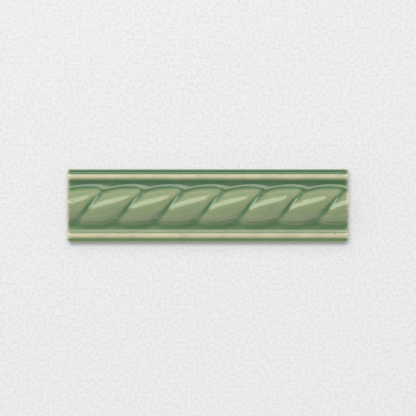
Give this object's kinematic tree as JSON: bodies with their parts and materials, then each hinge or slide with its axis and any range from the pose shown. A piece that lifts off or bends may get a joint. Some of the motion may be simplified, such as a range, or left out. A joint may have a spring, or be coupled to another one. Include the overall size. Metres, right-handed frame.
{
  "type": "rope moulding tile",
  "caption": "Glazed ceramic border tile with a rounded rope twist in relief between two grooves and slim beads, flat at the back and square at the ends so that tiles run on in line.",
  "frame": {"origin": "centre of the flat back, on the surface that the tile lies on", "axes": "+X along the tile and its rope, +Y across the tile, +Z out of the decorated face"},
  "size_m": [0.152, 0.0396, 0.0137],
  "materials": {
    "sage_glaze": "gloss"
  },
  "bodies": {
    "root": {"rope_moulding_tile": "sage_glaze"}
  },
  "joints": []
}
